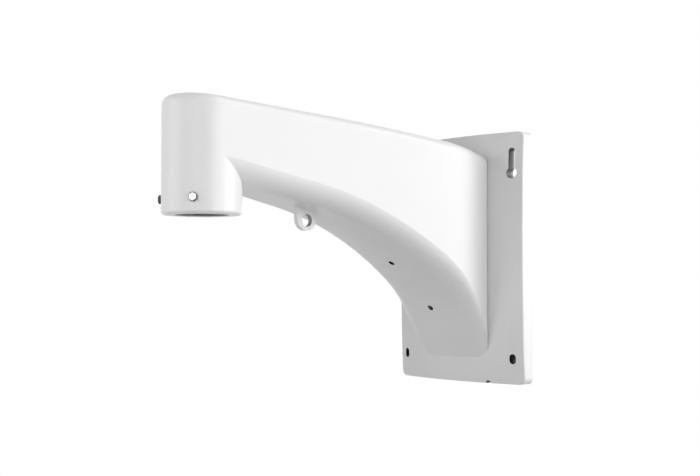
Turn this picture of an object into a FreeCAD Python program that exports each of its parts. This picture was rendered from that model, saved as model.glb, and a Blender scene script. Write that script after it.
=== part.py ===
import FreeCAD, Part, Sketcher
import os
from math import asin, atan, cos, degrees, pi, radians, sin, sqrt, tan

V = FreeCAD.Vector

# Camera wall bracket: a hollow die casting with two screws that lock the camera's spigot in its collar.
# The origin is on the collar's axis, just inside its mouth, where the full thread begins.
# X is across the wall, +Y points into the wall, +Z is up.

doc = FreeCAD.newDocument("camera_wall_bracket")

# Driving dimensions, in millimetres and degrees. A station is a distance from the collar's axis towards the wall,
# and a value whose name ends in from_wall is measured back from the wall.
dimensions = {
    # Collar at the arm's end
    "collar_radius": 33.0,
    "collar_height": 93.9,
    "collar_edge_round": 3.0,
    "bore_radius": 22.4,
    "thread_length": 28.0,
    "mouth_depth": 1.5,
    "mouth_chamfer": 1.0,
    # Arm, seen from above
    "reach": 309.0,
    "side_flare": 4.4,
    "side_bulge_from_wall": 83.0,
    "side_bulge_radius": 300.0,
    "root_round_from_wall": 29.5,
    "root_round_radius": 12.0,
    # Arm, seen from the side
    "top_slope": 4.43,
    "top_bow_from_wall": 199.0,
    "top_bow_radius": 2395.0,
    "top_drop_from_wall": 72.7,
    "top_drop_radius": 266.0,
    "top_round_from_wall": 29.5,
    "top_round_radius": 8.0,
    "top_edge_round": 8.0,
    "underside_height": 28.8,
    "underside_slope": 11.6,
    "underside_bend_from_wall": 222.0,
    "underside_long_radius": 354.0,
    "underside_turn": 27.4,
    "underside_short_radius": 117.0,
    "underside_root_turn": 21.8,
    "underside_crown": 9.1,
    "crown_start_from_wall": 234.0,
    "crown_end_from_wall": 49.0,
    "corner_radius": 18.6,
    "corner_change_from_wall": 119.0,
    "root_corner_radius": 23.4,
    "root_bottom": -142.5,
    "arm_end_from_wall": 9.0,
    "casting_wall": 4.5,
    # Wall plate
    "plate_width": 165.0,
    "plate_top": 83.4,
    "plate_bottom": -150.4,
    "plate_edge_depth": 11.3,
    "plate_crown_across": 11.3,
    "plate_crown_up": 2.6,
    "plate_corner_radius": 6.0,
    "plate_edge_chamfer": 0.7,
    "plate_wall": 4.0,
    # Fixing slots for the wall screws
    "slot_edge_distance": 11.2,
    "slot_width": 6.5,
    "slot_length": 9.2,
    "lower_slot_from_bottom": 23.3,
    "keyhole_eye_radius": 5.3,
    "keyhole_eye_from_top": 38.1,
    "keyhole_neck_from_top": 14.9,
    "keyhole_gap": 9.8,
    "boss_wall": 3.5,
    # Eyelet for the safety cord
    "lug_station": 107.0,
    "lug_height": -0.8,
    "lug_radius": 10.4,
    "lug_hole_height": -2.3,
    "lug_hole_radius": 5.5,
    "lug_thickness": 5.0,
    "lug_root_round": 5.0,
    # Drain holes in the underside and the drain notch in the plate
    "drain_radius": 3.0,
    "front_drain_station": 208.0,
    "rear_drain_station": 257.7,
    "notch_offset": 44.4,
    "notch_radius": 2.6,
    # Locking screws in the collar
    "screw_angle": 45.0,
    "screw_height": 11.5,
    "screw_radius": 2.5,
    "screw_clearance": 0.1,
    "screw_head_radius": 3.7,
    "screw_head_height": 2.8,
    "screw_head_chamfer": 0.35,
    "screw_seat_depth": 0.5,
    # Overlap that keeps two surfaces from running into one another, and the reach of cuts beyond a face
    "skin": 0.08,
    "overshoot": 30.0,
    "side_clearance": 15.0,
}

sheet = doc.addObject("Spreadsheet::Sheet", "Dimensions")
for row, (alias, value) in enumerate(dimensions.items(), start=1):
    sheet.set(f"A{row}", alias)
    sheet.set(f"B{row}", str(value))
    sheet.setAlias(f"B{row}", alias)
doc.recompute()


def size(alias):
    """A driving dimension, as the sheet holds it."""
    return float(sheet.get(alias))


def bind(item, **properties):
    """Ties properties of an object to formulas over the sheet."""
    for name, formula in properties.items():
        item.setExpression(name, formula)


def from_wall(alias):
    """The station of something whose distance is given from the wall."""
    return size("reach") - size(alias + "_from_wall")


SIDE_VIEW = FreeCAD.Rotation(V(0, 1, 0), V(0, 0, 1), V(1, 0, 0), "XYZ")
FRONT_VIEW = FreeCAD.Rotation(V(1, 0, 0), V(0, 0, 1), V(0, -1, 0), "XYZ")
TOP_VIEW = FreeCAD.Rotation()


# Outlines

def trace(start, heading, moves):
    """Walks from a point: (length,) goes straight, (radius, turn) goes round, to the left if turn is positive."""
    edges = []
    point = start
    for move in moves:
        if len(move) == 1:
            end = point + V(cos(heading), sin(heading), 0) * move[0]
            edges.append(Part.LineSegment(point, end))
        else:
            radius, turn = move
            centre = point + V(-sin(heading), cos(heading), 0) * radius * (1 if turn > 0 else -1)
            spoke = point - centre
            middle = centre + V(spoke.x * cos(turn / 2) - spoke.y * sin(turn / 2),
                                spoke.x * sin(turn / 2) + spoke.y * cos(turn / 2), 0)
            end = centre + V(spoke.x * cos(turn) - spoke.y * sin(turn), spoke.x * sin(turn) + spoke.y * cos(turn), 0)
            edges.append(Part.Arc(point, middle, end))
            heading += turn
        point = end
    return edges


def line_through(*corners):
    """Straight edges from corner to corner."""
    return [Part.LineSegment(a, b) for a, b in zip(corners, corners[1:])]


def mirrored(edges):
    """The same edges on the other side of the vertical axis, in the order that goes on round the outline."""
    result = []
    for edge in reversed(edges):
        a, b = edge.EndPoint, edge.StartPoint
        if isinstance(edge, Part.LineSegment):
            result.append(Part.LineSegment(V(-a.x, a.y, 0), V(-b.x, b.y, 0)))
        else:
            m = edge.value((edge.FirstParameter + edge.LastParameter) / 2)
            result.append(Part.Arc(V(-a.x, a.y, 0), V(-m.x, m.y, 0), V(-b.x, b.y, 0)))
    return result


def sketch(name, edges, view, origin=V(0, 0, 0)):
    """A sketch in one of the views, moved to its origin."""
    item = doc.addObject("Sketcher::SketchObject", name)
    item.Placement = FreeCAD.Placement(origin, view)
    item.addGeometry(edges, False)
    return item


def prism(name, profile, length_formula, reversed_length=False):
    """A sketch drawn out along its own normal."""
    item = doc.addObject("Part::Extrusion", name)
    item.Base = profile
    item.DirMode = "Normal"
    item.Solid = True
    item.Reversed = reversed_length
    bind(item, LengthFwd=length_formula)
    return item


def combine(kind, name, *shapes):
    """A fuse, common or cut of shapes."""
    item = doc.addObject(kind, name)
    if kind == "Part::Cut":
        item.Base, item.Tool = shapes
    else:
        item.Shapes = list(shapes)
    doc.recompute()
    return item


# Arm and collar

flare = radians(size("side_flare"))
reach = size("reach")
collar_radius = size("collar_radius")
wall = size("casting_wall")


def half_width(station):
    """Half the arm's outside width at a station, before the rear edge is rounded."""
    start = from_wall("side_bulge")
    if station <= start:
        return collar_radius / cos(flare) + station * tan(flare)
    radius = size("side_bulge_radius")
    widest = collar_radius / cos(flare) + start * tan(flare) + radius * (1 - cos(flare))
    return widest - radius + sqrt(radius ** 2 - (station - start - radius * sin(flare)) ** 2)


def side_heading(station):
    """How far the side has turned in from straight back, in radians."""
    return asin((station - from_wall("side_bulge")) / size("side_bulge_radius") - sin(flare))


top_slope = radians(size("top_slope"))
bow_end_sine = sin(top_slope) + (from_wall("top_drop") - from_wall("top_bow")) / size("top_bow_radius")
drop_end_sine = bow_end_sine + (from_wall("top_round") - from_wall("top_drop")) / size("top_drop_radius")
STEEPEST = radians(75)


def top_edges(inset, start, end, rounded):
    """The arm's top from the side, from in front of the collar to beyond the plate's face."""
    first = V(start, size("collar_height") - start * tan(top_slope) - inset / cos(top_slope), 0)
    flat = (from_wall("top_bow") - start - inset * sin(top_slope)) / cos(top_slope)
    moves = [(flat,), (size("top_bow_radius") - inset, top_slope - asin(bow_end_sine)),
             (size("top_drop_radius") - inset, asin(bow_end_sine) - asin(drop_end_sine))]
    if rounded:
        moves.append((size("top_round_radius") - inset, asin(drop_end_sine) - STEEPEST))
    else:
        moves.append((end - from_wall("top_round"),))
    return trace(first, -top_slope, moves)


def underside_height(station, inset):
    """Height of the arm's underside at a station, with the walls set in."""
    slope = radians(size("underside_slope"))
    middle = slope + radians(size("underside_turn"))
    steep = middle + radians(size("underside_root_turn"))
    first = V(from_wall("underside_bend") + inset * sin(slope),
              size("underside_height") - from_wall("underside_bend") * tan(slope) + inset * cos(slope), 0)
    long_radius = size("underside_long_radius") + inset
    short_radius = size("underside_short_radius") + inset
    long_centre = first - V(sin(slope), cos(slope), 0) * long_radius
    second = long_centre + V(sin(middle), cos(middle), 0) * long_radius
    short_centre = second - V(sin(middle), cos(middle), 0) * short_radius
    third = short_centre + V(sin(steep), cos(steep), 0) * short_radius
    if station <= first.x:
        return first.y + (first.x - station) * tan(slope)
    if station <= second.x:
        return long_centre.y + sqrt(long_radius ** 2 - (station - long_centre.x) ** 2)
    if station <= third.x:
        return short_centre.y + sqrt(short_radius ** 2 - (station - short_centre.x) ** 2)
    return third.y - (station - third.x) * tan(steep)


def corner_radius(station):
    """Radius between the arm's sides and its underside."""
    start = from_wall("corner_change")
    along = min(max((station - start) / (from_wall("root_round") - start), 0), 1)
    return size("corner_radius") + (size("root_corner_radius") - size("corner_radius")) * along


def crown_radius(station):
    """Radius of the underside across the arm, which bellies out more and more towards the wall."""
    start = from_wall("crown_start")
    along = min(max((station - start) / (from_wall("crown_end") - start), 0), 1)
    return half_width(station) ** 2 / (2 * max(size("underside_crown") * along, FLATTEST))


FLATTEST = 0.2
FRONT = -60.0
REAR = from_wall("arm_end")
HIGH = size("collar_height") + size("overshoot")
LOW = size("plate_bottom") - size("overshoot")
ASIDE = size("plate_width") / 2 - size("side_clearance")


def side_edges(inset, front, rounded):
    """The arm's right side from above, from the front station to beyond the plate's face."""
    start = V((collar_radius - inset) / cos(flare) + front * tan(flare), front, 0)
    straight = (from_wall("side_bulge") - front + inset * sin(flare)) / cos(flare)
    bulge = size("side_bulge_radius") - inset
    last = side_heading(from_wall("root_round") if rounded else REAR)
    moves = [(straight,), (bulge, flare + last)]
    if rounded:
        moves.append((size("root_round_radius") - inset, radians(70) - last))
    edges = trace(start, pi / 2 - flare, moves)
    if rounded:
        end = edges[-1].EndPoint
        edges += line_through(end, V(end.x, REAR, 0))
    return edges


def closed_plan(name, right, front_edges):
    """A prism over an outline that is the same on both sides, standing on the arm's lowest level."""
    end = right[-1].EndPoint
    edges = front_edges + right + line_through(end, V(-end.x, end.y, 0)) + mirrored(right)
    outline = sketch(name + "_outline", edges, TOP_VIEW)
    bind(outline, **{"Placement.Base.z": "Dimensions.root_bottom"})
    return prism(name, outline, "Dimensions.collar_height - Dimensions.root_bottom + Dimensions.overshoot")


def closed_side(name, top):
    """A prism across the arm under an outline of its top."""
    first, last = top[0].StartPoint, top[-1].EndPoint
    edges = top + line_through(last, V(last.x, LOW, 0), V(first.x, LOW, 0), first)
    outline = sketch(name + "_outline", edges, SIDE_VIEW, V(-ASIDE, 0, 0))
    return prism(name, outline, "Dimensions.plate_width - 2 * Dimensions.side_clearance")


def hull(name, inset, skin, stations, facets=0):
    """The arm's underside with its corners, open upwards, drawn through sections along the arm.

    The corners are round, or in a hull with facets they are cut off straight.
    """
    sections = []
    for number, station in enumerate(stations):
        width = half_width(station) - inset + skin
        low = underside_height(station, inset)
        radius = corner_radius(station) - inset
        crown = crown_radius(station) - inset
        lean = asin((width - radius) / (crown - radius))
        start = V(crown * sin(lean), low + crown * (1 - cos(lean)), 0)
        end = V(width, low + crown - (crown - radius) * cos(lean), 0)
        if facets:
            right = line_through(V(0, low, 0), start, end, V(width, HIGH, 0))
        else:
            right = trace(V(0, low, 0), 0, [(crown, lean), (radius, pi / 2 - lean)])
            right += line_through(end, V(width, HIGH, 0))
        edges = right + line_through(V(width, HIGH, 0), V(-width, HIGH, 0)) + mirrored(right)
        sections.append(sketch(f"{name}_section_{number}", edges, FRONT_VIEW, V(0, station, 0)))
    loft = doc.addObject("Part::Loft", name)
    loft.Sections = sections
    loft.Solid = True
    loft.Ruled = True
    return loft


STATIONS = [-40, 20, 60] + [reach - back for back in (
    222, 210, 198, 186, 174, 162, 150, 138, 126, 115, 104, 94, 84, 75, 66, 58, 50, 43, 36, 29, 19)]
CORE_STATIONS = [-40, 30] + [reach - back for back in (234, 199, 159, 124, 94, 69, 49, 34, 22, 10)]
skin = size("skin")

front_of_collar = -collar_radius * sin(flare)
right = side_edges(0, front_of_collar, False)
nose = Part.Arc(V(-right[0].StartPoint.x, front_of_collar, 0), V(0, -collar_radius, 0), right[0].StartPoint)
block = closed_plan("arm_block", right, [nose])
lid = closed_side("arm_lid", top_edges(0, FRONT, REAR + 1, False))
blank = combine("Part::MultiCommon", "arm_blank", block, lid)


def rim_edges(shape, limit):
    """Numbers of the edges between upright faces and faces that look up, in front of a station."""
    numbers = []
    for number, edge in enumerate(shape.Edges, start=1):
        middle = edge.valueAt((edge.FirstParameter + edge.LastParameter) / 2)
        normals = []
        for face in shape.ancestorsOfType(edge, Part.Face):
            u, v = face.Surface.parameter(middle)
            normals.append(face.normalAt(u, v))
        upright = any(abs(n.z) < 0.01 for n in normals)
        if upright and any(n.z > 0.3 for n in normals) and middle.y < limit:
            numbers.append(number)
    return numbers


def rounded(name, base, numbers, alias):
    """Rounds some edges of an object by a size of the sheet."""
    item = doc.addObject("Part::Fillet", name)
    item.Base = base
    item.Edges = [(number, size(alias), size(alias)) for number in numbers]
    doc.recompute()
    return item


rounded_blank = rounded("arm_rounded", blank, rim_edges(blank.Shape, REAR - 1), "top_edge_round")

# The rear end is rounded towards the plate, at the sides and on top
s = from_wall("root_round")
heading = side_heading(s)
side_start = V(half_width(s) + skin, s, 0)
right = line_through(V(ASIDE, FRONT, 0), V(ASIDE, s, 0), side_start)
right += trace(side_start, pi / 2 + heading, [(size("root_round_radius"), radians(70) - heading)])
end = right[-1].EndPoint
right += line_through(end, V(end.x, REAR, 0))
side_trim = closed_plan("side_trim", right, line_through(V(-ASIDE, FRONT, 0), V(ASIDE, FRONT, 0)))

drop_end = top_edges(0, FRONT, REAR, True)[2].EndPoint
top_start = drop_end + V(0, skin, 0)
top = line_through(V(FRONT, HIGH, 0), V(top_start.x, HIGH, 0), top_start)
top += trace(top_start, -asin(drop_end_sine), [(size("top_round_radius"), asin(drop_end_sine) - STEEPEST)])
end = top[-1].EndPoint
top += line_through(end, V(REAR + 1, end.y, 0))
top_trim = closed_side("top_trim", top)

underside = hull("underside", 0, skin, STATIONS)
arm = combine("Part::MultiCommon", "arm", rounded_blank, side_trim, top_trim, underside)

# The collar's lower edge is rounded in short straight steps
depth = size("mouth_depth")
edge_round = size("collar_edge_round")
steps = 4
corners = [V(0, -depth, 0)]
for step in range(steps):
    angle = (step + 0.5) * pi / 2 / steps
    reach_out = edge_round / cos(pi / 4 / steps)
    corners.append(V(collar_radius - edge_round + reach_out * sin(angle), edge_round - depth - reach_out * cos(angle), 0))
corners = [V(0, -depth, 0), V(corners[1].x, -depth, 0)] + corners[2:-1] + [V(collar_radius, corners[-1].y, 0)]
corners += [V(collar_radius, 0.6 * size("collar_height"), 0), V(0, 0.6 * size("collar_height"), 0), corners[0]]
post_outline = sketch("collar_post_outline", line_through(*corners), FRONT_VIEW)
collar = doc.addObject("Part::Revolution", "collar")
collar.Source = post_outline
collar.Axis = V(0, 0, 1)
collar.Angle = 360
collar.Solid = True
doc.recompute()

# Cord eyelet, a flat lug under the arm with a flared root
s, z, r = size("lug_station"), size("lug_height"), size("lug_radius")
inside = size("underside_height")
lug_edges = line_through(V(s - r, inside, 0), V(s - r, z, 0))
lug_edges += trace(V(s - r, z, 0), -pi / 2, [(r, pi), (size("lug_root_round"), -pi / 2)])
end = lug_edges[-1].EndPoint
lug_edges += line_through(end, V(end.x, inside, 0), V(s - r, inside, 0))
lug_outline = sketch("lug_outline", lug_edges, SIDE_VIEW)
bind(lug_outline, **{"Placement.Base.x": "-Dimensions.lug_thickness / 2"})
lug = prism("lug", lug_outline, "Dimensions.lug_thickness")


# Wall plate

plate_middle = (size("plate_top") + size("plate_bottom")) / 2
half_height = (size("plate_top") - size("plate_bottom")) / 2
half_plate = size("plate_width") / 2
across = size("plate_crown_across")
up = size("plate_crown_up")
across_radius = (half_plate ** 2 + across ** 2) / (2 * across)
up_radius = (half_height ** 2 + up ** 2) / (2 * up)
apex = reach - size("plate_edge_depth") - across - up


slot_half_pitch = half_plate - size("slot_edge_distance")
lower_slot_height = size("plate_bottom") + size("lower_slot_from_bottom")
keyhole_eye_height = size("plate_top") - size("keyhole_eye_from_top")
keyhole_neck_top = size("plate_top") - size("keyhole_neck_from_top")


def crowned(name, inset):
    """The plate's crowned face, as a solid that runs back beyond the wall."""
    x = half_plate + 4 - inset
    radius = across_radius - inset
    front = apex + inset
    edge = front + radius - sqrt(radius ** 2 - x ** 2)
    back = reach + 6
    edges = [Part.Arc(V(-x, edge, 0), V(0, front, 0), V(x, edge, 0))]
    edges += line_through(V(x, edge, 0), V(x, back, 0), V(-x, back, 0), V(-x, edge, 0))
    outline = sketch(name + "_outline", edges, TOP_VIEW, V(0, 0, plate_middle))
    item = doc.addObject("Part::Revolution", name)
    item.Source = outline
    item.Axis = V(1, 0, 0)
    item.Base = V(0, apex + up_radius, plate_middle)
    item.Angle = 2 * degrees(asin((half_height + 4) / up_radius))
    item.Symmetric = True
    item.Solid = True
    return item


def plate_outline(name, inset):
    """The plate's outline with its round corners, drawn forward from the wall."""
    radius = size("plate_corner_radius") - inset
    x = half_plate - inset
    z = half_height - inset
    right = trace(V(0, -z, 0), 0, [(x - radius,), (radius, pi / 2), (2 * (z - radius),), (radius, pi / 2), (x - radius,)])
    outline = sketch(name + "_outline", right + mirrored(right), FRONT_VIEW, V(0, reach, plate_middle))
    return prism(name, outline, "Dimensions.plate_edge_depth + Dimensions.plate_crown_across + 20")


plate_blank = combine("Part::MultiCommon", "plate_blank", crowned("plate_crown", 0), plate_outline("plate_rim", 0))
front_rim = []
for number, edge in enumerate(plate_blank.Shape.Edges, start=1):
    middle = edge.valueAt((edge.FirstParameter + edge.LastParameter) / 2)
    on_rim = abs(abs(middle.x) - half_plate) < 3 or abs(abs(middle.z - plate_middle) - half_height) < 3
    if on_rim and edge.BoundBox.YMax < reach - size("plate_edge_depth") + 0.5:
        front_rim.append(number)
plate = doc.addObject("Part::Chamfer", "plate")
plate.Base = plate_blank
plate.Edges = [(number, size("plate_edge_chamfer"), size("plate_edge_chamfer")) for number in front_rim]
doc.recompute()

body = combine("Part::MultiFuse", "solid_casting", arm, collar, lug, plate)


# Hollows

front_of_core = -(collar_radius - wall) * sin(flare)
plate_wall = size("plate_wall")
plate_hollow = combine("Part::MultiCommon", "plate_hollow", crowned("hollow_crown", plate_wall),
                       plate_outline("hollow_rim", plate_wall))

boss_lean = size("boss_wall")
through = size("plate_edge_depth") + size("overshoot")
bosses = []
for side in (-1, 1):
    for name, low, high, half, depth in (
        ("lower_boss", lower_slot_height - size("slot_length") / 2, lower_slot_height
         + size("slot_length") / 2, size("slot_width") / 2, 0),
        ("keyhole_boss", keyhole_eye_height - size("keyhole_eye_radius"), keyhole_neck_top,
         size("keyhole_eye_radius"), size("keyhole_gap")),
    ):
        boss = doc.addObject("Part::Box", name + ("_left" if side < 0 else "_right"))
        inner = slot_half_pitch - half - boss_lean
        boss.Length = half_plate - plate_wall / 2 - inner
        boss.Width = through - depth
        boss.Height = high - low + 2 * boss_lean
        x = inner if side > 0 else -inner - boss.Length.Value
        boss.Placement.Base = V(x, reach - through, low - boss_lean)
        bosses.append(boss)
boss_group = combine("Part::MultiFuse", "bosses", *bosses)
plate_space = combine("Part::Cut", "plate_space", plate_hollow, boss_group)

right = side_edges(wall, front_of_core, True)
nose = Part.Arc(V(-right[0].StartPoint.x, front_of_core, 0), V(0, wall - collar_radius, 0), right[0].StartPoint)
core_block = closed_plan("core_block", right, [nose])
bind(core_block.Base, **{"Placement.Base.z": "Dimensions.root_bottom + Dimensions.casting_wall"})
top = top_edges(wall, FRONT, REAR, True)
end = top[-1].EndPoint
core_lid = closed_side("core_lid", top + line_through(end, V(REAR + 1, end.y, 0)))
core_floor = hull("core_floor", wall, skin, CORE_STATIONS, True)
core = combine("Part::MultiCommon", "core", core_block, core_lid, core_floor)

# Threaded bore, its lead-in at the mouth and the relief above the thread
bore = doc.addObject("Part::Cylinder", "bore")
bind(bore, Radius="Dimensions.bore_radius", Height="Dimensions.thread_length + 10",
     **{"Placement.Base.z": "-Dimensions.mouth_depth - 1"})
relief = doc.addObject("Part::Cylinder", "thread_relief")
bind(relief, Radius="Dimensions.collar_radius - Dimensions.casting_wall - 4 * Dimensions.skin",
     Height="Dimensions.collar_height / 2 - Dimensions.thread_length",
     **{"Placement.Base.z": "Dimensions.thread_length"})
mouth = doc.addObject("Part::Cone", "mouth")
bind(mouth, Radius1="Dimensions.bore_radius + Dimensions.mouth_chamfer * 2", Radius2="Dimensions.bore_radius",
     Height="Dimensions.mouth_chamfer * 2",
     **{"Placement.Base.z": "-Dimensions.mouth_depth - Dimensions.mouth_chamfer"})

cord_hole = doc.addObject("Part::Cylinder", "cord_hole")
cord_hole.Placement = FreeCAD.Placement(V(0, 0, 0), FreeCAD.Rotation(V(0, 1, 0), 90))
bind(cord_hole, Radius="Dimensions.lug_hole_radius", Height="Dimensions.lug_thickness * 2",
     **{"Placement.Base.x": "-Dimensions.lug_thickness", "Placement.Base.y": "Dimensions.lug_station",
        "Placement.Base.z": "Dimensions.lug_hole_height"})

# Drain holes square to the underside
drains = []
for name in ("front_drain", "rear_drain"):
    station = size(name + "_station")
    slope = degrees(atan(underside_height(station - 1, 0) / 2 - underside_height(station + 1, 0) / 2))
    drain = doc.addObject("Part::Cylinder", name)
    bind(drain, Radius="Dimensions.drain_radius", Height="Dimensions.casting_wall * 3")
    turned = FreeCAD.Rotation(V(1, 0, 0), -slope)
    start = V(0, station, underside_height(station, 0)) - turned.multVec(V(0, 0, 1.5 * wall))
    drain.Placement = FreeCAD.Placement(start, turned)
    drains.append(drain)

notch = doc.addObject("Part::Cylinder", "notch")
notch.Placement = FreeCAD.Placement(V(0, 0, 0), FreeCAD.Rotation(V(1, 0, 0), 90))
bind(notch, Radius="Dimensions.notch_radius", Height="Dimensions.plate_edge_depth + Dimensions.overshoot",
     **{"Placement.Base.x": "Dimensions.notch_offset", "Placement.Base.y": "Dimensions.reach + 5",
        "Placement.Base.z": "Dimensions.plate_bottom"})

# Fixing slots, open from the face to the wall
h = size("slot_width") / 2
slots = []
for side, word in ((-1, "left"), (1, "right")):
    x = side * slot_half_pitch
    straight = size("slot_length") - 2 * h
    edges = trace(V(h, -straight / 2, 0), pi / 2, [(straight,), (h, pi), (straight,), (h, pi)])
    outline = sketch("lower_slot_outline_" + word, edges, FRONT_VIEW, V(x, reach + 1, lower_slot_height))
    slots.append(prism("lower_slot_" + word, outline, "Dimensions.plate_edge_depth + Dimensions.overshoot"))
    eye = size("keyhole_eye_radius")
    open_angle = asin(h / eye)
    neck = keyhole_neck_top - keyhole_eye_height - h - eye * cos(open_angle)
    edges = trace(V(h, eye * cos(open_angle), 0), pi / 2, [(neck,), (h, pi), (neck,)])
    start = edges[-1].EndPoint
    edges += trace(start, pi + open_angle, [(eye, 2 * pi - 2 * open_angle)])
    outline = sketch("keyhole_outline_" + word, edges, FRONT_VIEW, V(x, reach + 1, keyhole_eye_height))
    slots.append(prism("keyhole_" + word, outline, "Dimensions.plate_edge_depth + Dimensions.overshoot"))


def toward(angle, radial):
    """A placement in the collar whose Z axis points out from the collar's axis."""
    turned = FreeCAD.Rotation(V(0, 0, 1), angle - 90).multiply(FreeCAD.Rotation(V(0, 1, 0), 90))
    out = turned.multVec(V(0, 0, 1))
    return FreeCAD.Placement(out * radial + V(0, 0, size("screw_height")), turned)


seat = collar_radius - size("screw_seat_depth")
screw_holes = []
for side, word in ((-1, "left"), (1, "right")):
    angle = side * size("screw_angle")
    hole = doc.addObject("Part::Cylinder", "screw_hole_" + word)
    bind(hole, Radius="Dimensions.screw_radius + Dimensions.screw_clearance", Height="Dimensions.collar_radius")
    hole.Placement = toward(angle, size("bore_radius") / 2)
    flat = doc.addObject("Part::Cylinder", "screw_flat_" + word)
    bind(flat, Radius="Dimensions.screw_head_radius + 0.4", Height="Dimensions.screw_head_height * 2")
    flat.Placement = toward(angle, seat)
    screw_holes += [hole, flat]

spaces = combine("Part::MultiFuse", "spaces", plate_space, core, relief, bore)
openings = combine("Part::MultiFuse", "openings", mouth, cord_hole, notch, *drains, *slots, *screw_holes)
hollowed = combine("Part::Cut", "hollowed", body, spaces)
casting = combine("Part::Cut", "bracket_casting", hollowed, openings)

# Locking screws: shank and six-sided head with its corners taken off, made once and mirrored
shank = doc.addObject("Part::Cylinder", "screw_shank")
tip = size("bore_radius") + 0.6
bind(shank, Radius="Dimensions.screw_radius")
shank.Height = seat - tip + size("screw_head_height") / 2
shank.Placement = toward(size("screw_angle"), tip)
hexagon = doc.addObject("Part::Prism", "screw_hexagon")
hexagon.Polygon = 6
bind(hexagon, Circumradius="Dimensions.screw_head_radius",
     Height="Dimensions.screw_head_height + Dimensions.screw_seat_depth")
hexagon.Placement = toward(size("screw_angle"), seat)
doc.recompute()
outer_face = hexagon.Placement.multVec(V(0, 0, hexagon.Height.Value))
face_rim = []
for number, edge in enumerate(hexagon.Shape.Edges, start=1):
    ends = [vertex.Point - outer_face for vertex in edge.Vertexes]
    if all(end.dot(hexagon.Placement.Rotation.multVec(V(0, 0, 1))) > -0.1 for end in ends):
        face_rim.append(number)
head = doc.addObject("Part::Chamfer", "screw_head")
head.Base = hexagon
head.Edges = [(number, size("screw_head_chamfer"), size("screw_head_chamfer")) for number in face_rim]
right_screw = combine("Part::MultiFuse", "right_screw", shank, head)
left_screw = doc.addObject("Part::Mirroring", "left_screw")
left_screw.Source = right_screw
left_screw.Normal = V(1, 0, 0)
screws = doc.addObject("Part::Compound", "collar_lock_screws")
screws.Links = [right_screw, left_screw]
doc.recompute()

nodes = (casting, screws)
for item in doc.Objects:
    if "Invalid" in item.State or "Error" in item.State:
        raise RuntimeError(f"{item.Name} did not rebuild: {item.State}")
os.makedirs("parts", exist_ok=True)
for node in nodes:
    if node.Shape.isNull() or not node.Shape.isValid():
        raise RuntimeError(f"{node.Name} has no sound shape")
    print(node.Label, len(node.Shape.Solids), node.Shape.Volume, node.Shape.BoundBox)
    node.Shape.exportStep(f"parts/{node.Label}.step")
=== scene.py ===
import bmesh
import bpy
from math import asin, cos, pi, radians, sin, sqrt
from mathutils import Euler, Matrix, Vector


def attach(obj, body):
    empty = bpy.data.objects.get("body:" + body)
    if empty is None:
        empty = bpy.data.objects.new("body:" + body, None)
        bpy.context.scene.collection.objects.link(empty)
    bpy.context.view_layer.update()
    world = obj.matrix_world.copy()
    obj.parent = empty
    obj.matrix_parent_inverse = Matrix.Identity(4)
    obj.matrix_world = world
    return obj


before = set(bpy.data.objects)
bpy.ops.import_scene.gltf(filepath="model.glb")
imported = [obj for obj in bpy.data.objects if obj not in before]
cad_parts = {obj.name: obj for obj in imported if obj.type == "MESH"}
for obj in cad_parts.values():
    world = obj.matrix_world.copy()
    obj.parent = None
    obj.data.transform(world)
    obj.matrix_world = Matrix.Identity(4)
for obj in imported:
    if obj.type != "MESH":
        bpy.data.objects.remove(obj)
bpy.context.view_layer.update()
bpy.context.scene.view_settings.view_transform = "Standard"

# Where the bracket's details are, in metres: X along the wall, Y towards it, Z up

# The soft edge of the masks on the holes and the bore
EDGE = 0.00012

# The bore and its thread. The ridge's foot and crest are half widths, in pitches.
BORE_RADIUS = 0.0224
THREAD_START = 0.0004
THREAD_END = 0.0275
THREAD_PITCH = 0.00231
THREAD_DEPTH = 0.00027
THREAD_SUNK = 0.0004
THREAD_FOOT = 0.45
THREAD_CREST = 0.09
THREAD_STEPS = 96
THREAD_FADE_TURNS = 0.5

# The unpainted zone in the collar, whose dark grey also stands in for the shade inside the bore: within
# a radius, and above and below a middle height
BARE_SHADED_RADIUS = 0.0285
BARE_SHADED_MIDDLE = 0.0136
BARE_SHADED_REACH = 0.0147

# Slots in the plate
SLOT_OFFSET = 0.0713
SLOT_RADIUS = 0.00325
LOWER_SLOT_HEIGHT = -0.1271
LOWER_SLOT_STRAIGHT = 0.00135
KEYHOLE_EYE = 0.0453
KEYHOLE_EYE_RADIUS = 0.0053
KEYHOLE_NECK = 0.0685 - SLOT_RADIUS

# Rims on the backs of the keyholes' bosses
RIM_START = 0.2988
RIM_END = 0.3012
RIM_WALL = 0.002
RIM_GAP = 0.00004
RIM_CHAMFER = 0.0004
RIM_STEPS = 32

# The notch in the plate's lower edge (x, z), the eyelet's hole (y, z) and the drain holes (y, z,
# slope), which painted shade darkens
NOTCH = (0.0444, -0.1504)
NOTCH_RADIUS = 0.0026
EYELET = (0.107, -0.0023)
EYELET_RADIUS = 0.0055
EYELET_REACH = 0.003
DRAINS = ((0.20921, -0.03666, radians(32.88)), (0.25945, -0.07895, radians(52.44)))
DRAIN_RADIUS = 0.003
DRAIN_REACH = 0.008

# The screws' faces, rubbed bright and lit as a painted highlight against sides of painted shade, by
# distance from the collar's axis
RUBBED_LIT_FROM = 0.0357
RUBBED_LIT_EDGE = 0.00005


# Camera, at the photo's angle

IMAGE_WIDTH = 700
SENSOR = 36.0
FOCAL_PIXELS = 1225.0
AZIMUTH = 50.0
PITCH = 2.04
CAMERA_PLACE = (0.8423, -0.5488, -0.0556)
CLIP_START = 0.01
CLIP_END = 100

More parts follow.
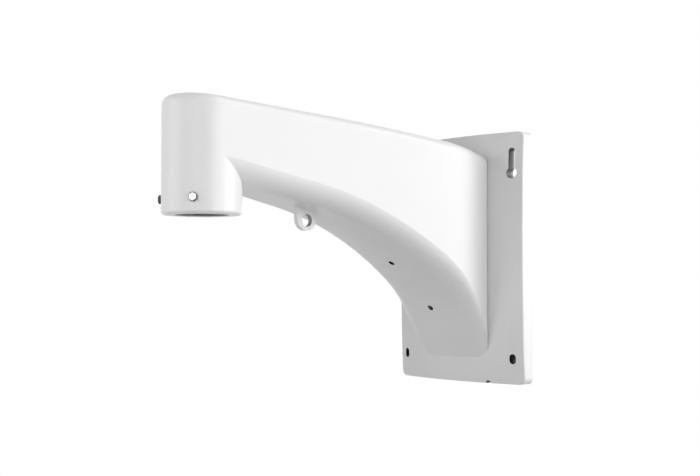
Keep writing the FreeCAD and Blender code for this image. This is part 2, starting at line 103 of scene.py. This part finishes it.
camera_data = bpy.data.cameras.new("camera")
camera_data.sensor_fit = "HORIZONTAL"
camera_data.sensor_width = SENSOR
camera_data.lens = FOCAL_PIXELS * SENSOR / IMAGE_WIDTH
camera_data.clip_start = CLIP_START
camera_data.clip_end = CLIP_END
camera = bpy.data.objects.new("camera", camera_data)
camera.location = CAMERA_PLACE
camera.rotation_euler = Euler((radians(90 + PITCH), 0, radians(AZIMUTH)), "XYZ")
bpy.context.collection.objects.link(camera)
bpy.context.scene.camera = camera


# Node helpers

# A Mix node's sockets for colours, which share their names with its sockets of other kinds
MIX_A = 6
MIX_B = 7
MIX_RESULT = 2


def grey(level):
    return (level, level, level, 1)


class Nodes:
    """A node tree, with short ways to make and link its nodes."""

    def __init__(self, tree):
        self.tree = tree

    def make(self, kind, **settings):
        """A node. Settings that name a socket fill it, and the others are properties."""
        node = self.tree.nodes.new(kind)
        for key, value in settings.items():
            if key in node.inputs:
                node.inputs[key].default_value = value
            else:
                setattr(node, key, value)
        return node

    def link(self, source, target):
        self.tree.links.new(source, target)

    def fill(self, socket, value):
        """Links an output to a socket, or writes a number or colour into it."""
        if isinstance(value, (int, float, tuple)):
            socket.default_value = value
        else:
            self.link(value, socket)

    def math(self, operation, *values, clamp=False):
        """The result of a Math node on numbers and outputs."""
        node = self.make("ShaderNodeMath", operation=operation, use_clamp=clamp)
        for socket, value in zip(node.inputs, values):
            self.fill(socket, value)
        return node.outputs[0]

    def minus(self, first, second):
        return self.math("SUBTRACT", first, second)

    def both(self, first, second):
        """A mask where two masks are on."""
        return self.math("MINIMUM", first, second)

    def any(self, masks):
        """A mask where at least one of several is on."""
        result = masks[0]
        for mask in masks[1:]:
            result = self.math("MAXIMUM", result, mask)
        return result

    def length(self, first, second):
        squares = [self.math("MULTIPLY", side, side) for side in (first, second)]
        return self.math("SQRT", self.math("ADD", *squares))

    def turned(self, first, second, angle):
        """Two coordinates after a turn of their axes."""
        across = self.minus(self.math("MULTIPLY", first, cos(angle)),
                            self.math("MULTIPLY", second, sin(angle)))
        along = self.math("ADD", self.math("MULTIPLY", first, sin(angle)),
                          self.math("MULTIPLY", second, cos(angle)))
        return across, along

    def inside(self, distance, limit):
        """A mask that is on where a distance is below a limit, with a soft edge."""
        return self.math("DIVIDE", self.minus(limit, distance), EDGE, clamp=True)

    def spread(self, value, low, high, start=0.0, end=1.0):
        """A value that runs from low to high while another runs from start to end."""
        node = self.make("ShaderNodeMapRange", **{"From Min": start, "From Max": end,
                                                  "To Min": low, "To Max": high})
        self.link(value, node.inputs["Value"])
        return node.outputs["Result"]

    def blend(self, factor, first, second):
        """A colour between two colours or outputs."""
        node = self.make("ShaderNodeMix", data_type="RGBA")
        self.link(factor, node.inputs["Factor"])
        self.fill(node.inputs[MIX_A], first)
        self.fill(node.inputs[MIX_B], second)
        return node.outputs[MIX_RESULT]

    def mixed(self, factor, first, second):
        """Two shaders mixed by a factor."""
        node = self.make("ShaderNodeMixShader")
        for socket, output in zip(node.inputs, (factor, first, second)):
            self.link(output, socket)
        return node.outputs["Shader"]

    def noise(self, where, scale, detail, roughness):
        node = self.make("ShaderNodeTexNoise", Scale=scale, Detail=detail, Roughness=roughness)
        self.link(where, node.inputs["Vector"])
        return node.outputs["Fac"]

    def place(self):
        """The object's coordinates, as a vector and as x, y and z."""
        where = self.make("ShaderNodeTexCoord").outputs["Object"]
        split = self.make("ShaderNodeSeparateXYZ")
        self.link(where, split.inputs[0])
        return (where, *split.outputs)


class Shader(Nodes):
    """A new material with its main shader."""

    def __init__(self, name):
        self.material = bpy.data.materials.new(name)
        self.material.use_nodes = True
        super().__init__(self.material.node_tree)
        self.main = self.tree.nodes["Principled BSDF"]
        self.out = self.tree.nodes["Material Output"]

    def bumps(self, height, strength, distance):
        bump = self.make("ShaderNodeBump", Strength=strength, Distance=distance)
        self.link(height, bump.inputs["Height"])
        self.link(bump.outputs["Normal"], self.main.inputs["Normal"])


# Materials. Noises are given by scale, detail and roughness, and bumps by strength and distance.

COAT_SHADES = ((0.3, (0.868, 0.868, 0.866, 1)), (0.7, (0.884, 0.884, 0.882, 1)))
COAT_ROUGHNESS = (0.27, 0.35)
CLOUD = (16.0, 4.0, 0.6)
PEEL = (850.0, 2.0, 0.5)
PEEL_BUMP = (0.05, 0.0004)
SPECK = (260.0, 3.0, 0.55)
# The bore's bare grey, dark enough to be painted shade inside the collar as well
BARE_SHADED_GREY = 0.25
BARE_VARIES = 0.2
# Painted shade on the wall of the eyelet's hole
EYELET_PAINTED_SHADE = 0.3
# Painted shade inside the lower slots, the notch and the drains
HOLE_PAINTED_SHADE = 0.012
# Painted shade inside the keyholes, grey at the eye and darker towards the neck's top
KEYHOLE_PAINTED_SHADES = (0.22, 0.015)
# Near-black screw sides, which are painted shade as well as a dark finish
STEEL_SIDE_PAINTED_SHADE = 0.012
STEEL_ROUGHNESS = 0.42
STEEL_WEAR = (900.0, 5.0, 0.65)
WEAR_BUMP = (0.15, 0.0001)
# The worn face's bright tones, which are also a painted highlight
WORN_FACE_AND_HIGHLIGHT = (0.5, 0.85)
WORN_METALLIC = 0.55


def coated(s, colour, x, y, z):
    """The coat's colour with its bare bore, and painted shade in the bore, the eyelet's hole, the
    slots, the notch, the drains and the keyholes.
    """
    aside = s.minus(s.math("ABSOLUTE", x), SLOT_OFFSET)

    def slot(low, high):
        """A mask on an upright slot, whose ends are round about two heights."""
        up = s.minus(s.math("ABSOLUTE", s.minus(z, (low + high) / 2)), (high - low) / 2)
        return s.inside(s.length(aside, s.math("MAXIMUM", up, 0.0)), SLOT_RADIUS + EDGE)

    def round_hole(first, second, centre, radius):
        """A mask on a round hole, seen along its axis."""
        return s.inside(s.length(s.minus(first, centre[0]), s.minus(second, centre[1])),
                        radius + EDGE)

    # Painted shade on the eyelet's hole wall
    eyelet = s.both(s.inside(s.math("ABSOLUTE", x), EYELET_REACH),
                    round_hole(y, z, EYELET, EYELET_RADIUS))
    # The bare bore, whose dark grey is also painted shade
    bore = s.both(s.inside(s.length(x, y), BARE_SHADED_RADIUS),
                  s.math("COMPARE", z, BARE_SHADED_MIDDLE, BARE_SHADED_REACH))
    # Painted shade inside the lower slots, the notch and the drains
    holes = [slot(LOWER_SLOT_HEIGHT - LOWER_SLOT_STRAIGHT, LOWER_SLOT_HEIGHT + LOWER_SLOT_STRAIGHT),
             round_hole(x, z, NOTCH, NOTCH_RADIUS)]
    for station, height, slope in DRAINS:
        across, along = s.turned(s.minus(y, station), s.minus(z, height), slope)
        holes.append(s.both(s.inside(s.length(x, across), DRAIN_RADIUS + EDGE),
                            s.inside(s.math("ABSOLUTE", along), DRAIN_REACH)))
    # Painted shade inside the keyholes
    eye = s.inside(s.length(aside, s.minus(z, KEYHOLE_EYE)), KEYHOLE_EYE_RADIUS + EDGE)
    keyhole = s.any([slot(KEYHOLE_EYE, KEYHOLE_NECK), eye])
    colour = s.blend(eyelet, colour, grey(EYELET_PAINTED_SHADE))
    colour = s.blend(bore, colour, grey(BARE_SHADED_GREY))
    colour = s.blend(s.any(holes), colour, grey(HOLE_PAINTED_SHADE))
    return s.blend(keyhole, colour, s.spread(z, *KEYHOLE_PAINTED_SHADES, KEYHOLE_EYE, KEYHOLE_NECK))


def powder_coat(name, bare_shaded=False):
    """Satin white powder coat with fine orange peel, or the bare grey under it. Painted shade darkens
    the coat's holes, and the bare grey is dark enough to be painted shade in the bore too.
    """
    s = Shader(name)
    where, x, y, z = s.place()
    cloud = s.noise(where, *CLOUD)
    if bare_shaded:
        colour = s.blend(cloud, grey(BARE_SHADED_GREY * (1 - BARE_VARIES)), grey(BARE_SHADED_GREY * (1 + BARE_VARIES)))
    else:
        tint = s.make("ShaderNodeValToRGB")
        for element, (position, shade) in zip(tint.color_ramp.elements, COAT_SHADES):
            element.position = position
            element.color = shade
        s.link(cloud, tint.inputs["Fac"])
        colour = coated(s, tint.outputs["Color"], x, y, z)
    s.link(colour, s.main.inputs["Base Color"])
    s.link(s.spread(s.noise(where, *SPECK), *COAT_ROUGHNESS), s.main.inputs["Roughness"])
    s.bumps(s.noise(where, *PEEL), *PEEL_BUMP)
    return s.material


def steel_painted_light(name):
    """Blackened screw steel, rubbed bright on the head's outer face. The near-black sides are also
    painted shade, and the bright face is also a painted highlight.
    """
    s = Shader(name)
    where, x, y, z = s.place()
    out = s.math("MULTIPLY", s.minus(s.math("ABSOLUTE", x), y), sqrt(0.5))
    rubbed_lit_face = s.math("DIVIDE", s.minus(out, RUBBED_LIT_FROM), RUBBED_LIT_EDGE, clamp=True)
    wear = s.noise(where, *STEEL_WEAR)
    # Black sides as painted shade, and a bright worn face as painted highlight
    s.link(s.blend(rubbed_lit_face, grey(STEEL_SIDE_PAINTED_SHADE), s.spread(wear, *WORN_FACE_AND_HIGHLIGHT)),
           s.main.inputs["Base Color"])
    s.link(s.math("MULTIPLY", rubbed_lit_face, WORN_METALLIC), s.main.inputs["Metallic"])
    s.bumps(wear, *WEAR_BUMP)
    s.main.inputs["Roughness"].default_value = STEEL_ROUGHNESS
    return s.material


WHITE = powder_coat("white_powder_coat")
STEEL = steel_painted_light("screw_steel_painted_light")
for node, material in (("bracket_casting", WHITE), ("collar_lock_screws", STEEL)):
    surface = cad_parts[node].data
    surface.materials.clear()
    surface.materials.append(material)


# Pieces that the scene adds

def bridge(mesh, first, second):
    """Faces between two closed loops of as many points."""
    for a in range(len(first)):
        b = (a + 1) % len(first)
        mesh.faces.new((first[a], first[b], second[b], second[a]))


def add_object(name, mesh, material):
    """An object of a finished mesh."""
    bmesh.ops.recalc_face_normals(mesh, faces=mesh.faces)
    data = bpy.data.meshes.new(name)
    mesh.to_mesh(data)
    mesh.free()
    data.materials.append(material)
    piece = bpy.data.objects.new(name, data)
    bpy.context.collection.objects.link(piece)
    return piece


def thread_ridge():
    """The collar's fine thread, a ridge that winds up the bore and fades in and out."""
    turns = (THREAD_END - THREAD_START) / THREAD_PITCH - 1
    count = int(turns * THREAD_STEPS)
    mesh = bmesh.new()
    sections = []
    for step in range(count + 1):
        turn = step / THREAD_STEPS
        left = (count - step) / THREAD_STEPS
        crest = -THREAD_DEPTH * min(turn / THREAD_FADE_TURNS, left / THREAD_FADE_TURNS, 1)
        middle = THREAD_START + THREAD_PITCH * (0.5 + turn)
        section = []
        for grow, share in ((THREAD_SUNK, -THREAD_FOOT), (crest, -THREAD_CREST),
                            (crest, THREAD_CREST), (THREAD_SUNK, THREAD_FOOT)):
            radius = BORE_RADIUS + grow
            angle = 2 * pi * step / THREAD_STEPS
            section.append(mesh.verts.new((radius * cos(angle), radius * sin(angle),
                                           middle + share * THREAD_PITCH)))
        sections.append(section)
    for first, second in zip(sections, sections[1:]):
        bridge(mesh, first, second)
    mesh.faces.new(sections[0])
    mesh.faces.new(sections[-1][::-1])
    return mesh


def keyhole_outline(grow):
    """As many points round the keyhole in x and z, grown by any distance."""
    eye, neck = KEYHOLE_EYE_RADIUS + grow, SLOT_RADIUS + grow
    waist = asin(neck / eye)
    points = []
    for step in range(RIM_STEPS + 1):
        angle = pi / 2 - waist - (2 * pi - 2 * waist) * step / RIM_STEPS
        points.append((eye * cos(angle), KEYHOLE_EYE + eye * sin(angle)))
    for step in range(RIM_STEPS + 1):
        angle = pi - pi * step / RIM_STEPS
        points.append((neck * cos(angle), KEYHOLE_NECK + neck * sin(angle)))
    return points


def keyhole_rim(side):
    """A rim that carries a keyhole a little deeper than its boss, with its outer edge chamfered."""
    mesh = bmesh.new()
    loops = []
    for grow, depth in ((RIM_GAP, RIM_START), (RIM_GAP, RIM_END), (RIM_WALL - RIM_CHAMFER, RIM_END),
                        (RIM_WALL, RIM_END - RIM_CHAMFER), (RIM_WALL, RIM_START)):
        loops.append([mesh.verts.new((side * SLOT_OFFSET + x, depth, z))
                      for x, z in keyhole_outline(grow)])
    for first, second in zip(loops, loops[1:] + loops[:1]):
        bridge(mesh, first, second)
    return mesh


# The thread's bare grey also stands in for the shade in the bore
thread = add_object("collar_thread", thread_ridge(), powder_coat("bare_shaded_thread", bare_shaded=True))
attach(thread, "root")

for side, label in ((-1, "left"), (1, "right")):
    boss = add_object("keyhole_boss_" + label, keyhole_rim(side), WHITE)
    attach(boss, "root")


# Floor, world and lamps

BACKGROUND_RAYS = ("Is Camera Ray", "Is Glossy Ray", "Is Transmission Ray")
FLOOR_LEVEL = -0.45
FLOOR_SIZE = 40
FLOOR_SHADE = 0.57
FLOOR_ROUGHNESS = 0.9
NEAR_WHITE = 0.7
SHADOW_REACH = (0.6, 1.4)
WORLD_LIGHT = 0.07


def background_seen(nodes):
    """1 for the rays that see the white background, not its light."""
    path = nodes.make("ShaderNodeLightPath")
    return nodes.any([path.outputs[ray] for ray in BACKGROUND_RAYS])


def floor_white(name):
    """Pale floor that shows some of the shadow near the object and turns white further off."""
    s = Shader(name)
    s.main.inputs["Base Color"].default_value = grey(FLOOR_SHADE)
    s.main.inputs["Roughness"].default_value = FLOOR_ROUGHNESS
    where, x, y, z = s.place()
    away = s.spread(s.length(x, y), NEAR_WHITE, 1.0, *SHADOW_REACH)
    glow = s.make("ShaderNodeEmission").outputs["Emission"]
    factor = s.math("MULTIPLY", background_seen(s), away)
    s.link(s.mixed(factor, s.main.outputs["BSDF"], glow), s.out.inputs["Surface"])
    return s.material


bpy.ops.mesh.primitive_plane_add(size=FLOOR_SIZE, location=(0, 0, FLOOR_LEVEL))
floor = bpy.context.active_object
floor.name = "floor"
floor.data.materials.append(floor_white("floor_white"))

world = bpy.data.worlds.new("studio")
bpy.context.scene.world = world
world.use_nodes = True
world.node_tree.nodes.clear()
sky = Nodes(world.node_tree)
dim, white = (sky.make("ShaderNodeBackground", Color=grey(1), Strength=strength).outputs["Background"]
              for strength in (WORLD_LIGHT, 1.0))
sky.link(sky.mixed(background_seen(sky), dim, white),
         sky.make("ShaderNodeOutputWorld").inputs["Surface"])


def softbox(name, azimuth, elevation, distance, width, height, power, aim):
    """A large soft lamp. Azimuth 0 is in front of the wall, 90 at the bracket's right."""
    data = bpy.data.lights.new(name, "AREA")
    data.shape = "RECTANGLE"
    data.size = width
    data.size_y = height
    data.energy = power
    lamp = bpy.data.objects.new(name, data)
    turn, rise = radians(azimuth), radians(elevation)
    away = Vector((sin(turn) * cos(rise), -cos(turn) * cos(rise), sin(rise)))
    lamp.location = Vector(aim) + away * distance
    lamp.rotation_euler = away.to_track_quat("Z", "Y").to_euler()
    bpy.context.collection.objects.link(lamp)


COLLAR = (0, 0, 0)
ARM = (0, 0.1, 0)
softbox("key", 105, 2, 2.4, 1.5, 0.9, 11.5, ARM)
softbox("rear_key", 140, 12, 3.2, 1.85, 2.1, 51, ARM)
softbox("front_left", -25, 12, 0.7, 0.6, 0.8, 2.25, COLLAR)
softbox("front_right", 32, 12, 0.75, 0.6, 0.8, 2.0, COLLAR)
softbox("left", -128, 15, 2.4, 1.4, 1.4, 7, ARM)
softbox("top", 120, 45, 2.2, 1.3, 1.3, 13, ARM)
